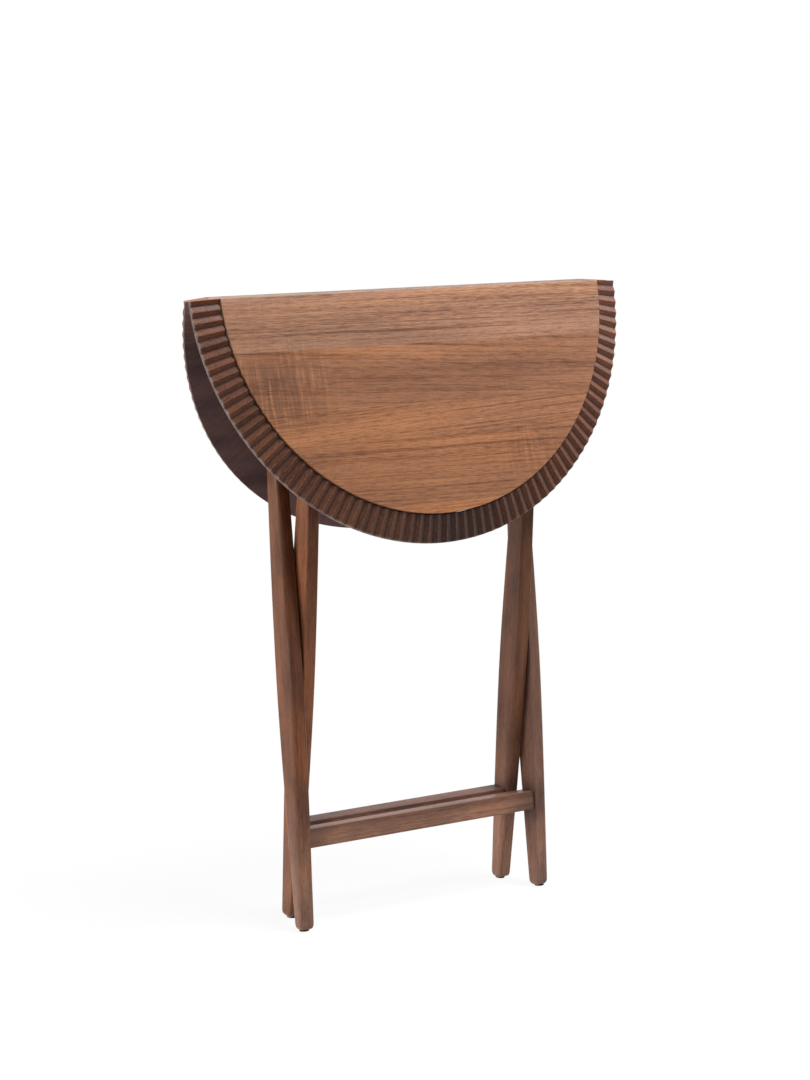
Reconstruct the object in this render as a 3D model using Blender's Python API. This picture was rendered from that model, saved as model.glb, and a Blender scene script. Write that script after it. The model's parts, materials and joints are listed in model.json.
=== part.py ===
"""Round folding table: two half-round leaves with a fluted border, hinged along the diameter on
their undersides, carried by two crossed leg frames. Built half folded, standing on its feet.

World axes: X along the hinge line, -Y towards the front leaf, Z up, floor at Z = 0.
Leaf axes: X along the hinge line, Y from the hinge line out to the rim, Z out of the top face.
Frame axes: X across the two legs, Z up along the legs, zero at the centre pivot.
"""
import math

import bmesh
import bpy
from mathutils import Matrix, Vector, geometry

# Sizes in metres, angles in degrees.
GAP = 0.0003

TOP_RADIUS = 0.300
BORDER_WIDTH = 0.03375
PANEL_THICKNESS = 0.0153
PANEL_ARRIS = 0.0007
RIM_THICKNESS = 0.0052
BORDER_STEP = 0.0010
FLUTES_PER_LEAF = 70
FLUTE_DEPTH = 0.0026

HINGE_BARREL_RADIUS = 0.0024
HINGE_PLATE_THICKNESS = 0.0012
HINGE_PIN_RADIUS = 0.0010
HINGE_WIDTH = 0.050
HINGE_REACH = 0.018
HINGE_SPACING = 0.190

LEG_UPPER = 0.28068
LEG_LOWER = 0.29420
LEG_THICKNESS = 0.0171
LEG_MIDDLE_WIDTH = 0.0379
LEG_TOP_WIDTH = 0.0194
LEG_FOOT_WIDTH = 0.0191
LEG_ROUND = 0.0040
LEG_OUTER_ROUND = 0.0056
LEG_ARRIS = 0.0010
FOOT_ROUND = 0.0076
FOOT_ROUND_SWEEP = 72
FOOT_EASE = 0.0080
FOOT_EASE_SWEEP = 55
LEG_SPREAD = 0.1721
LEG_CLEARANCE = 0.0012
REST_LEG_TILT = 5.38

LEAF_PIVOT_REACH = 0.1575
LEAF_PIVOT_DROP = 0.0115
BLOCK_LENGTH = 0.038
BLOCK_WIDTH = 0.020
BLOCK_COVER = 0.0115
BLOCK_ROUND = 0.0060

STRETCHER_HEIGHT = 0.0234
STRETCHER_DEPTH = 0.0208
STRETCHER_DROP = 0.2010
STRETCHER_ROUND = 0.0020
TENON_SHOULDER = 0.0050
TENON_LENGTH = 0.0090

PIN_RADIUS = 0.0040
PIN_BITE = 0.0125
BUSH_WALL = 0.0015
BUSH_LENGTH = 0.0120
BUSH_FLANGE = 0.0006
BUSH_FLANGE_WIDTH = 0.0025

GLIDE_RADIUS = 0.0058
GLIDE_HEIGHT = 0.0020
GLIDE_EDGE = 0.0010
GLIDE_PEG_RADIUS = 0.0020
GLIDE_PEG_LENGTH = 0.0100

ROUND_STEPS = 20

# Levels measured from the hinge axis along the leaf's normal.
UNDERSIDE = HINGE_BARREL_RADIUS + GAP
PANEL_TOP = UNDERSIDE + PANEL_THICKNESS
PANEL_RADIUS = TOP_RADIUS - BORDER_WIDTH
EDGE = GAP

# Resting shape of the folding linkage.
INNER_SPREAD = LEG_SPREAD - LEG_THICKNESS - LEG_CLEARANCE
LEG_TILT = math.radians(REST_LEG_TILT)
PIVOT_ARM = math.hypot(LEAF_PIVOT_REACH, LEAF_PIVOT_DROP)
PIVOT_LEAN = math.atan2(LEAF_PIVOT_DROP, LEAF_PIVOT_REACH)
LEAF_TILT = math.acos(LEG_UPPER * math.sin(LEG_TILT) / PIVOT_ARM) - PIVOT_LEAN
GLIDE_DOME = GLIDE_HEIGHT - GLIDE_EDGE
GLIDE_BALL = (GLIDE_RADIUS ** 2 + GLIDE_DOME ** 2) / (2 * GLIDE_DOME)
PIVOT_HEIGHT = LEG_LOWER * math.cos(LEG_TILT) + GLIDE_BALL
LEG_TOP_HEIGHT = PIVOT_HEIGHT + LEG_UPPER * math.cos(LEG_TILT)
HINGE_HEIGHT = (LEG_TOP_HEIGHT + LEAF_PIVOT_REACH * math.sin(LEAF_TILT)
                + LEAF_PIVOT_DROP * math.cos(LEAF_TILT))
FOOT_END = -(LEG_LOWER + GLIDE_BALL - GLIDE_HEIGHT) + GAP
FLANGE_GAP = (LEG_CLEARANCE - BUSH_FLANGE) / 2

LEAF_PIVOT = Vector((0, LEAF_PIVOT_REACH, -LEAF_PIVOT_DROP))


def clear_scene():
    for item in list(bpy.data.objects):
        bpy.data.objects.remove(item, do_unlink=True)


def new_collection(name):
    made = bpy.data.collections.new(name)
    bpy.context.scene.collection.children.link(made)
    return made


def new_material(name, colour, roughness, metallic):
    made = bpy.data.materials.new(name)
    made.use_nodes = True
    shader = made.node_tree.nodes["Principled BSDF"]
    shader.inputs["Base Color"].default_value = (*colour, 1)
    shader.inputs["Roughness"].default_value = roughness
    shader.inputs["Metallic"].default_value = metallic
    made.diffuse_color = (*colour, 1)
    return made


clear_scene()
TABLE = new_collection("round_folding_table")
CUTTERS = new_collection("cutters")
PANEL_WOOD = new_material("panel_walnut", (0.36, 0.17, 0.08), 0.42, 0)
BORDER_WOOD = new_material("border_walnut", (0.16, 0.08, 0.05), 0.45, 0)
LEG_WOOD = new_material("leg_walnut", (0.20, 0.10, 0.06), 0.50, 0)
BLOCK_WOOD = new_material("block_walnut", (0.15, 0.08, 0.05), 0.60, 0)
BRASS = new_material("hinge_brass", (0.62, 0.44, 0.18), 0.35, 1)
BRONZE = new_material("bush_bronze", (0.45, 0.28, 0.13), 0.40, 1)
STEEL = new_material("pin_steel", (0.55, 0.55, 0.57), 0.30, 1)
FELT = new_material("glide_rubber", (0.02, 0.02, 0.02), 0.80, 0)


class Body:
    """One rigid group: an empty on its joint axis and the place of that axis in the group's own axes."""

    def __init__(self, name, joint, place, turn):
        self.joint = Vector(joint)
        self.axis = bpy.data.objects.new(name, None)
        self.axis.empty_display_size = 0.03
        self.axis.location = place
        self.axis.rotation_euler = turn
        TABLE.objects.link(self.axis)

    def add(self, name, mesh, material, at=(0, 0, 0), turned=False):
        """Put a mesh in the group, turned half round about its own Z where asked."""
        item = bpy.data.objects.new(name, mesh)
        TABLE.objects.link(item)
        item.parent = self.axis
        item.location = Vector(at) - self.joint
        item.rotation_euler = (0, 0, math.pi if turned else 0)
        item.data.materials.clear()
        item.data.materials.append(material)
        return item


def as_mesh(name, bm):
    bmesh.ops.recalc_face_normals(bm, faces=bm.faces)
    mesh = bpy.data.meshes.new(name)
    bm.to_mesh(mesh)
    bm.free()
    return mesh


def prism(outline, low, high, axis):
    """Outline of flat points drawn out along one axis; the faces at both ends come back too."""
    bm = bmesh.new()
    turn = {"x": Matrix(((0, 0, 1), (1, 0, 0), (0, 1, 0))), "y": Matrix(((1, 0, 0), (0, 0, 1), (0, 1, 0))),
            "z": Matrix.Identity(3)}[axis]
    points = [bm.verts.new(turn @ Vector((u, v, low))) for u, v in outline]
    start = bm.faces.new(points)
    made = bmesh.ops.extrude_face_region(bm, geom=[start], use_keep_orig=True)["geom"]
    moved = [item for item in made if isinstance(item, bmesh.types.BMVert)]
    bmesh.ops.translate(bm, verts=moved, vec=turn @ Vector((0, 0, high - low)))
    end = [item for item in made if isinstance(item, bmesh.types.BMFace)][0]
    return bm, start, end


def box(name, low, high):
    bm = bmesh.new()
    size = Vector(high) - Vector(low)
    bmesh.ops.create_cube(bm, size=1)
    bmesh.ops.scale(bm, vec=size, verts=bm.verts)
    bmesh.ops.translate(bm, vec=(Vector(high) + Vector(low)) / 2, verts=bm.verts)
    return as_mesh(name, bm)


def rod(name, radius, start, end, axis="x", arris=0.0):
    """Round bar between two places along an axis, its end edges eased by the arris."""
    bm = bmesh.new()
    bmesh.ops.create_cone(bm, cap_ends=True, segments=ROUND_STEPS, radius1=radius, radius2=radius,
                          depth=abs(end - start))
    bmesh.ops.translate(bm, vec=(0, 0, (start + end) / 2), verts=bm.verts)
    if arris:
        rims = [edge for edge in bm.edges if any(len(face.verts) > 4 for face in edge.link_faces)]
        bmesh.ops.bevel(bm, geom=rims, offset=arris, segments=1, profile=0.5, affect="EDGES")
    if axis == "x":
        bmesh.ops.rotate(bm, matrix=Matrix.Rotation(math.pi / 2, 3, "Y"), verts=bm.verts)
    return as_mesh(name, bm)


def turned(name, profile, axis="x"):
    """Closed profile of (radius, height) points turned full round; points on the axis are joined."""
    bm = bmesh.new()
    points = [bm.verts.new((radius, 0, height)) for radius, height in profile]
    loop = [bm.edges.new((points[i], points[(i + 1) % len(points)])) for i in range(len(points))]
    if profile[0][0] == 0 and profile[-1][0] == 0:
        bmesh.ops.delete(bm, geom=[loop.pop()], context="EDGES")
    bmesh.ops.spin(bm, geom=points + loop, axis=(0, 0, 1), cent=(0, 0, 0), angle=2 * math.pi,
                   steps=ROUND_STEPS, use_merge=True)
    bmesh.ops.remove_doubles(bm, verts=bm.verts, dist=0.00001)
    if axis == "x":
        bmesh.ops.rotate(bm, matrix=Matrix.Rotation(math.pi / 2, 3, "Y"), verts=bm.verts)
    return as_mesh(name, bm)


def cut(item, label, mesh, at=(0, 0, 0)):
    """Take a shape given in the item's own axes out of it."""
    cutter = bpy.data.objects.new(item.name + "_" + label, mesh)
    CUTTERS.objects.link(cutter)
    cutter.parent = item
    cutter.location = at
    cutter.display_type = "WIRE"
    cutter.hide_render = True
    tool = item.modifiers.new(label, "BOOLEAN")
    tool.operation = "DIFFERENCE"
    tool.solver = "EXACT"
    tool.object = cutter


def spoke(index):
    """Direction of one spoke of the fluted round: crests on even spokes, valleys on odd ones."""
    angle = index * math.pi / (2 * FLUTES_PER_LEAF)
    return math.cos(angle), math.sin(angle)


def panel_mesh():
    outline = [(PANEL_RADIUS * spoke(i)[0], max(EDGE, PANEL_RADIUS * spoke(i)[1]))
               for i in range(2 * FLUTES_PER_LEAF + 1)]
    bm, under, top = prism(outline, UNDERSIDE, PANEL_TOP, "z")
    bmesh.ops.bevel(bm, geom=list(top.edges), offset=PANEL_ARRIS, segments=1, profile=0.5,
                    affect="EDGES")
    return as_mesh("leaf_panel", bm)


def border_mesh():
    """Bevelled half ring whose slope is cut in radial V flutes, a crest at each end of the hinge line."""
    inside = PANEL_RADIUS + GAP
    rim = UNDERSIDE + RIM_THICKNESS
    profile = [(inside, UNDERSIDE), (inside, PANEL_TOP - BORDER_STEP), (TOP_RADIUS, rim),
               (TOP_RADIUS, UNDERSIDE + PANEL_ARRIS), (TOP_RADIUS - PANEL_ARRIS, UNDERSIDE)]
    bm = bmesh.new()
    first = spoke(-1)
    points = [bm.verts.new((radius * first[0], radius * first[1], level)) for radius, level in profile]
    loop = [bm.edges.new((points[i], points[(i + 1) % len(points)])) for i in range(len(points))]
    steps = 2 * FLUTES_PER_LEAF + 2
    bmesh.ops.spin(bm, geom=points + loop, axis=(0, 0, 1), cent=(0, 0, 0), steps=steps,
                   angle=steps * math.pi / (2 * FLUTES_PER_LEAF))
    for vert in bm.verts:
        turn = math.atan2(vert.co.y, vert.co.x)
        if turn < -math.pi / 2:
            turn += 2 * math.pi
        index = round(turn * 2 * FLUTES_PER_LEAF / math.pi)
        if index % 2 and vert.co.z > rim - FLUTE_DEPTH / 2:
            vert.co.z -= FLUTE_DEPTH
    bmesh.ops.bisect_plane(bm, geom=list(bm.verts) + list(bm.edges) + list(bm.faces), dist=1e-7,
                           plane_co=(0, EDGE, 0), plane_no=(0, 1, 0), clear_inner=True)
    open_edges = [edge for edge in bm.edges if edge.is_boundary]
    bmesh.ops.edgeloop_fill(bm, edges=open_edges)
    return as_mesh("leaf_border", bm)


def plate_mesh():
    """Hinge plate with its barrel, before the gaps for the other plate's knuckles."""
    meet = HINGE_BARREL_RADIUS - HINGE_PLATE_THICKNESS
    start = math.asin(meet / HINGE_BARREL_RADIUS)
    sweep = 2 * math.pi - (math.pi / 2 - start)
    outline = [(HINGE_REACH, HINGE_BARREL_RADIUS), (HINGE_REACH, meet)]
    for i in range(ROUND_STEPS - 3):
        angle = start - sweep * i / (ROUND_STEPS - 4)
        outline.append((HINGE_BARREL_RADIUS * math.cos(angle), HINGE_BARREL_RADIUS * math.sin(angle)))
    return as_mesh("hinge_plate", prism(outline, -HINGE_WIDTH / 2, HINGE_WIDTH / 2, "x")[0])


def add_plate(body, name, at_x, middle):
    """Hinge plate that keeps the middle knuckle or the two end ones."""
    plate = body.add(name, plate_mesh(), BRASS, (at_x, 0, 0))
    third = HINGE_WIDTH / 6
    half = HINGE_WIDTH / 2
    reach = HINGE_BARREL_RADIUS + GAP
    spans = [(-half - GAP, -third + GAP / 2), (third - GAP / 2, half + GAP)]
    if not middle:
        spans = [(-third - GAP / 2, third + GAP / 2)]
    for i, (low, high) in enumerate(spans):
        cut(plate, "knuckle_gap_%d" % i, box("knuckle_gap", (low, -2 * reach, -2 * reach),
                                             (high, reach, 2 * reach)))
    cut(plate, "pin_hole", rod("pin_hole", HINGE_PIN_RADIUS + GAP, -half - GAP, half + GAP))


def leg_outline():
    """Cigar-shaped side view: slim round top, wide middle, slim foot with round corners."""
    top = LEG_TOP_WIDTH / 2
    foot = LEG_FOOT_WIDTH / 2
    wide = LEG_MIDDLE_WIDTH / 2
    low = FOOT_END + FOOT_ROUND * math.sin(math.radians(FOOT_ROUND_SWEEP))
    middle = (LEG_UPPER + FOOT_END) / 2
    side = geometry.interpolate_bezier((foot, low), (foot + (wide - foot) * 0.46, low * 0.67),
                                       (wide, middle + low * 0.25), (wide, middle), 9)
    side += geometry.interpolate_bezier((wide, middle), (wide, middle + LEG_UPPER * 0.27),
                                        (top + (wide - top) * 0.46, LEG_UPPER * 0.66), (top, LEG_UPPER),
                                        9)[1:]
    corner = [Vector((foot - FOOT_ROUND * (1 - math.cos(a)), low - FOOT_ROUND * math.sin(a)))
              for a in [math.radians(FOOT_ROUND_SWEEP * part / 3) for part in (3, 2, 1)]]
    arc = [Vector((top * math.cos(a), LEG_UPPER + top * math.sin(a)))
           for a in [math.radians(d) for d in range(22, 90, 23)]]
    half = corner + [Vector(p[:2]) for p in side] + arc
    tip = [Vector((0, LEG_UPPER + top))]
    return half + tip + [Vector((-p.x, p.y)) for p in reversed(half)]


def leg_mesh(rounding):
    """Leg with well rounded edges on its free side (+X) and a flat side that meets the other leg."""
    outline = [(p.x, p.y) for p in leg_outline()]
    bm, mating, free = prism(outline, -LEG_THICKNESS / 2, LEG_THICKNESS / 2, "x")
    bmesh.ops.bevel(bm, geom=list(free.edges), offset=rounding, segments=4, profile=0.5,
                    affect="EDGES")
    flat = min(bm.faces, key=lambda face: face.calc_center_median().x)
    bmesh.ops.bevel(bm, geom=list(flat.edges), offset=LEG_ARRIS, segments=1, profile=0.5,
                    affect="EDGES")
    return as_mesh("leg", bm)


def foot_corner_mesh():
    """What the easing of the foot takes off the leg's flat side: all that lies outside an arc."""
    corner = Vector((-LEG_THICKNESS / 2, FOOT_END))
    sweep = math.radians(FOOT_EASE_SWEEP)
    centre = corner + Vector((FOOT_EASE - GAP, FOOT_EASE * math.sin(sweep) - GAP))
    arc = [centre - FOOT_EASE * Vector((math.cos(sweep * i / 4), math.sin(sweep * i / 4)))
           for i in range(5)]
    outside = [Vector((arc[-1].x, FOOT_END - 2 * GAP)), corner + Vector((-2 * GAP, -2 * GAP)),
               Vector((corner.x - 2 * GAP, centre.y))]
    outline = [(p.x, p.y) for p in arc + outside]
    return as_mesh("foot_corner", prism(outline, -LEG_FOOT_WIDTH, LEG_FOOT_WIDTH, "y")[0])


def stretcher_mesh(half_span):
    """Cross rail with eased edges and a tenon on each end."""
    bm = bmesh.new()
    bmesh.ops.create_cube(bm, size=1)
    bmesh.ops.scale(bm, vec=(2 * (half_span - GAP), STRETCHER_DEPTH, STRETCHER_HEIGHT), verts=bm.verts)
    ends = [face for face in bm.faces if abs(face.normal.x) > 0.9]
    bmesh.ops.inset_individual(bm, faces=ends, thickness=TENON_SHOULDER, use_even_offset=True)
    for face in ends:
        out = TENON_LENGTH if face.normal.x > 0 else -TENON_LENGTH
        made = bmesh.ops.extrude_discrete_faces(bm, faces=[face])["faces"][0]
        bmesh.ops.translate(bm, vec=(out, 0, 0), verts=made.verts)
    long_edges = [e for e in bm.edges if abs(e.verts[0].co.x - e.verts[1].co.x) > half_span]
    bmesh.ops.bevel(bm, geom=long_edges, offset=STRETCHER_ROUND, segments=2, profile=0.5,
                    affect="EDGES")
    return as_mesh("stretcher", bm)


def bush_mesh(facing):
    """Flanged bearing: sleeve in the leg, flange in the clearance; the leg's face is at X = 0."""
    bore = PIN_RADIUS + GAP
    outside = bore + BUSH_WALL
    profile = [(bore, -BUSH_LENGTH), (outside, -BUSH_LENGTH), (outside, FLANGE_GAP),
               (outside + BUSH_FLANGE_WIDTH, FLANGE_GAP),
               (outside + BUSH_FLANGE_WIDTH, FLANGE_GAP + BUSH_FLANGE), (bore, FLANGE_GAP + BUSH_FLANGE)]
    return turned("bush", [(radius, facing * place) for radius, place in profile])


def glide_mesh():
    """Domed glide with a peg; the dome's ball centre is at the origin."""
    base = GLIDE_HEIGHT - GLIDE_BALL
    reach = math.asin(GLIDE_RADIUS / GLIDE_BALL)
    dome = [(GLIDE_BALL * math.sin(reach * i / 3), -GLIDE_BALL * math.cos(reach * i / 3))
            for i in range(4)]
    dome[0] = (0, -GLIDE_BALL)
    peg = [(GLIDE_RADIUS, base), (GLIDE_PEG_RADIUS, base), (GLIDE_PEG_RADIUS, base + GLIDE_PEG_LENGTH),
           (0, base + GLIDE_PEG_LENGTH)]
    return turned("glide", dome + peg, "z")


def block_mesh():
    """Bearer block under a leaf: flat against the leaf, its lower corners rounded."""
    low = -LEAF_PIVOT_DROP - BLOCK_COVER
    high = UNDERSIDE - GAP
    half = BLOCK_LENGTH / 2
    outline = [(-half, low), (half, low), (half, high), (-half, high)]
    bm = prism(outline, -BLOCK_WIDTH / 2, BLOCK_WIDTH / 2, "x")[0]
    corners = [e for e in bm.edges if abs(e.verts[0].co.x - e.verts[1].co.x) > BLOCK_WIDTH / 2
               and e.verts[0].co.z < low + GAP]
    bmesh.ops.bevel(bm, geom=corners, offset=BLOCK_ROUND, segments=4, profile=0.5, affect="EDGES")
    return as_mesh("block", bm)


def add_leaf(body, side, leg_x, free):
    """Panel, border, bearer blocks and pivot pins of one leaf; free is the way from leg to block."""
    flip = -1 if side == "front" else 1
    body.add(side + "_leaf_panel", panel_mesh(), PANEL_WOOD)
    body.add(side + "_leaf_border", border_mesh(), BORDER_WOOD)
    for hand, sign in (("left", -1), ("right", 1)):
        face = sign * (leg_x + free * LEG_THICKNESS / 2)
        way = sign * free
        middle = face + way * (LEG_CLEARANCE + BLOCK_WIDTH / 2)
        block = body.add("%s_%s_block" % (side, hand), block_mesh(), BLOCK_WOOD,
                         (flip * middle, LEAF_PIVOT_REACH, 0))
        mouth = -flip * way * BLOCK_WIDTH / 2
        stop = mouth + flip * way * (PIN_BITE + GAP)
        hole = rod("hole", PIN_RADIUS + GAP, mouth - flip * way * GAP, stop)
        cut(block, "pin_hole", hole, (0, 0, -LEAF_PIVOT_DROP))
        outer = face + way * (LEG_CLEARANCE + PIN_BITE)
        inner = face - way * (BUSH_LENGTH - GAP)
        pin = rod("pin", PIN_RADIUS, flip * outer, flip * inner, arris=GAP)
        body.add("%s_%s_leaf_pin" % (side, hand), pin, STEEL,
                 (0, LEAF_PIVOT_REACH, -LEAF_PIVOT_DROP))


def add_frame(body, side, leg_x, free):
    """Legs, stretcher, glides and bushes of one frame; free is +1 where the free side faces out."""
    bush_hole = PIN_RADIUS + 2 * GAP + BUSH_WALL
    half = LEG_THICKNESS / 2
    inside_is_free = free < 0
    rounding = LEG_ROUND if inside_is_free else LEG_OUTER_ROUND
    tenon_wide = STRETCHER_DEPTH / 2 - TENON_SHOULDER + GAP
    tenon_high = STRETCHER_HEIGHT / 2 - TENON_SHOULDER + GAP
    tenon_deep = TENON_LENGTH + GAP
    for hand, sign in (("left", -1), ("right", 1)):
        half_turn = sign * free < 0
        leg = body.add("%s_%s_leg" % (side, hand), leg_mesh(rounding), LEG_WOOD, (sign * leg_x, 0, 0),
                       half_turn)
        top_hole = rod("hole", bush_hole, half - BUSH_LENGTH - GAP, half + GAP)
        cut(leg, "top_hole", top_hole, (0, 0, LEG_UPPER))
        if inside_is_free:
            centre_hole = rod("hole", PIN_RADIUS + GAP, -half - GAP, -half + PIN_BITE + GAP)
            low_x, high_x = half - tenon_deep, half + GAP
        else:
            centre_hole = rod("hole", bush_hole, -half - GAP, -half + BUSH_LENGTH + GAP)
            low_x, high_x = -half - GAP, -half + tenon_deep
        cut(leg, "centre_hole", centre_hole)
        mortise = box("mortise", (low_x, -tenon_wide, -STRETCHER_DROP - tenon_high),
                      (high_x, tenon_wide, -STRETCHER_DROP + tenon_high))
        cut(leg, "mortise", mortise)
        cut(leg, "foot_corner", foot_corner_mesh())
        peg_hole = rod("peg", GLIDE_PEG_RADIUS + GAP, FOOT_END - GAP, FOOT_END + GLIDE_PEG_LENGTH, "z")
        cut(leg, "peg_hole", peg_hole)
        body.add("%s_%s_glide" % (side, hand), glide_mesh(), FELT, (sign * leg_x, 0, -LEG_LOWER))
        face = sign * (leg_x + free * half)
        body.add("%s_%s_top_bush" % (side, hand), bush_mesh(sign * free), BRONZE, (face, 0, LEG_UPPER))
    span = leg_x - half
    body.add(side + "_stretcher", stretcher_mesh(span), LEG_WOOD, (0, 0, -STRETCHER_DROP))


def main():
    centre = Vector((0, 0, PIVOT_HEIGHT))
    ridge = Vector((0, 0, HINGE_HEIGHT))
    back_turn = (-LEAF_TILT, 0, 0)
    front_turn = (-LEAF_TILT, 0, math.pi)
    lean = LEG_UPPER * math.sin(LEG_TILT)

    pivot = Body("centre_pivot_axis", (0, 0, 0), centre, (0, 0, 0))
    outer = Body("outer_frame_axis", (0, 0, 0), centre, (-LEG_TILT, 0, 0))
    back = Body("back_leaf_axis", LEAF_PIVOT, (0, lean, LEG_TOP_HEIGHT), back_turn)
    front = Body("front_leaf_axis", (0, 0, 0), ridge, front_turn)
    inner = Body("inner_frame_axis", (0, 0, LEG_UPPER), (0, -lean, LEG_TOP_HEIGHT), (LEG_TILT, 0, 0))

    add_frame(outer, "outer", LEG_SPREAD, 1)
    add_frame(inner, "inner", INNER_SPREAD, -1)
    add_leaf(back, "back", LEG_SPREAD, 1)
    add_leaf(front, "front", INNER_SPREAD, -1)

    for place, shift in (("left", -1), ("middle", 0), ("right", 1)):
        at_x = shift * HINGE_SPACING
        add_plate(back, "back_%s_hinge_plate" % place, at_x, True)
        add_plate(front, "front_%s_hinge_plate" % place, -at_x, False)
        pin = rod("hinge_pin", HINGE_PIN_RADIUS, -HINGE_WIDTH / 2, HINGE_WIDTH / 2, arris=GAP)
        back.add(place + "_hinge_pin", pin, STEEL, (at_x, 0, 0))

    outer_face = LEG_SPREAD - LEG_THICKNESS / 2
    inner_face = INNER_SPREAD + LEG_THICKNESS / 2
    for hand, sign in (("left", -1), ("right", 1)):
        outer.add("%s_centre_bush" % hand, bush_mesh(-sign), BRONZE, (sign * outer_face, 0, 0))
        near = sign * (outer_face - FLANGE_GAP - BUSH_FLANGE)
        far = sign * (outer_face + BUSH_LENGTH - GAP)
        pivot.add("%s_centre_pin" % hand, rod("centre_pin", PIN_RADIUS, near, far, arris=GAP), STEEL)
        start = sign * inner_face
        stop = sign * (inner_face - PIN_BITE)
        seat = rod("centre_pin_seat", PIN_RADIUS, start, stop, arris=GAP)
        inner.add("%s_centre_pin_seat" % hand, seat, STEEL)


main()
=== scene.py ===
"""Round folding table in walnut: two hinged half-round leaves on two crossed leg frames."""
import json
from math import atan2, cos, pi, radians, sin

import bmesh
import bpy
from bpy.props import FloatProperty, FloatVectorProperty, IntProperty, PointerProperty
from mathutils import Matrix, Vector

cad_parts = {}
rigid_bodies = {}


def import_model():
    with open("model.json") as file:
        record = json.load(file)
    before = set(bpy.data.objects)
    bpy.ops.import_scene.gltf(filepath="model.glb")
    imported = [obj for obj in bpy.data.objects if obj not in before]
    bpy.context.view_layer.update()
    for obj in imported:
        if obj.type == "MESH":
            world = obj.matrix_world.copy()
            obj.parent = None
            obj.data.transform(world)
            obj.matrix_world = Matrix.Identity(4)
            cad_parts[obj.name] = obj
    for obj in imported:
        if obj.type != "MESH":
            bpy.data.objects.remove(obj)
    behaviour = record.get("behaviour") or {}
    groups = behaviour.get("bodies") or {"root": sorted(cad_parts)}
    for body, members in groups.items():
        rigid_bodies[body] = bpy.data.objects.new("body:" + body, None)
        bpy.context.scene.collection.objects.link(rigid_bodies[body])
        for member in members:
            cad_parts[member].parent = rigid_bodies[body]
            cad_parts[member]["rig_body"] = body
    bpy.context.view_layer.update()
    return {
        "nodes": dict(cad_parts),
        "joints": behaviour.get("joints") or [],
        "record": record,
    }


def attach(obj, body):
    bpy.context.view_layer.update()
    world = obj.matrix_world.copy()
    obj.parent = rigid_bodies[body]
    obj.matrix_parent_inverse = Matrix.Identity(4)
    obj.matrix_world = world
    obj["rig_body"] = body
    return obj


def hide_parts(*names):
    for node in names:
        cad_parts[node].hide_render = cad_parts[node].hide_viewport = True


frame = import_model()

bl_info = {
    "name": "Round Folding Table",
    "version": (1, 0, 0),
    "blender": (4, 5, 0),
    "location": "View3D > Sidebar > Folding Table",
    "description": "Dresses the leaves, legs, hinges and pivots of a round folding table in walnut",
    "category": "Object",
}

NODES = frame["nodes"]
JOINTS = {joint["name"]: joint for joint in frame["joints"]}
MOUNTS = {mount["name"]: mount for mount in frame["record"]["mounts"]}

RIDGE = Vector(JOINTS["leaf_fold"]["pos_m"])
CENTRE = Vector(JOINTS["outer_frame_swing"]["pos_m"])
LEG_TOP = Vector(JOINTS["back_leaf_swing"]["pos_m"])
LEAF_NORMAL = Vector(MOUNTS["front_leaf_top"]["axis"])
LEAF_TILT = atan2(-LEAF_NORMAL.y, LEAF_NORMAL.z)
LEG_TILT = atan2(LEG_TOP.y - CENTRE.y, LEG_TOP.z - CENTRE.z)
ACROSS = Vector((1, 0, 0))

HANDS = ("left", "right")
LEAVES = ("front", "back")
FRAMES = ("outer", "inner")
HINGES = ("left", "middle", "right")


# Axes of the pieces

def columns(along, across, through, origin):
    """Axes whose X, Y and Z are the three given directions, standing at the origin point."""
    turned = Matrix((along, across, through)).transposed().to_4x4()
    return Matrix.Translation(origin) @ turned


def leaf_axes(leaf):
    """X along the hinge line, Y down the leaf, Z out of its top face."""
    way = 1 if leaf == "back" else -1
    down = Vector((0, way * cos(LEAF_TILT), -sin(LEAF_TILT)))
    out = Vector((0, way * sin(LEAF_TILT), cos(LEAF_TILT)))
    return columns(Vector((way, 0, 0)), down, out, RIDGE)


def frame_up(pair):
    """Direction up a leg frame, from its feet to its tops."""
    way = 1 if pair == "outer" else -1
    return Vector((0, way * sin(LEG_TILT), cos(LEG_TILT)))


def leg_axes(pair):
    """X up the leg, Y across the table, Z through the frame."""
    up = frame_up(pair)
    return columns(up, ACROSS, up.cross(ACROSS), CENTRE)


def stretcher_axes(pair):
    """X along the rail, Y up the frame, Z through it."""
    up = frame_up(pair)
    return columns(ACROSS, up, ACROSS.cross(up), CENTRE)


def box_in(axes, node):
    """Lowest and highest corner of a CAD node, measured along a piece's own axes."""
    back = axes.inverted()
    points = [back @ vert.co for vert in NODES[node].data.vertices]
    low = Vector([min(point[k] for point in points) for k in range(3)])
    high = Vector([max(point[k] for point in points) for k in range(3)])
    return low, high


LEAF_BOX = box_in(leaf_axes("front"), "front_leaf_panel")
BORDER_BOX = box_in(leaf_axes("front"), "front_leaf_border")
BORDER_WIDTH = 0.03375


# Settings

def shade(red, green, blue):
    """A colour read as 8-bit display values, as the linear values Blender works in."""
    def linear(value):
        value /= 255
        return value / 12.92 if value <= 0.04045 else ((value + 0.055) / 1.055) ** 2.4
    return linear(red), linear(green), linear(blue)


def size(name, description, default):
    """A length that a user may change."""
    return FloatProperty(name=name, description=description, default=default, min=0.0, unit="LENGTH",
                         precision=5)


def colour(name, description, default):
    """A colour that a user may change."""
    return FloatVectorProperty(name=name, description=description, default=default, size=3, min=0.0,
                               max=1.0, subtype="COLOR")


def power(name, description, default):
    """A lamp's power in watts."""
    return FloatProperty(name=name, description=description, default=default, min=0.0, unit="POWER")


def angle(name, description, default):
    """An angle, given in degrees."""
    return FloatProperty(name=name, description=description, default=radians(default), subtype="ANGLE")


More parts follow.
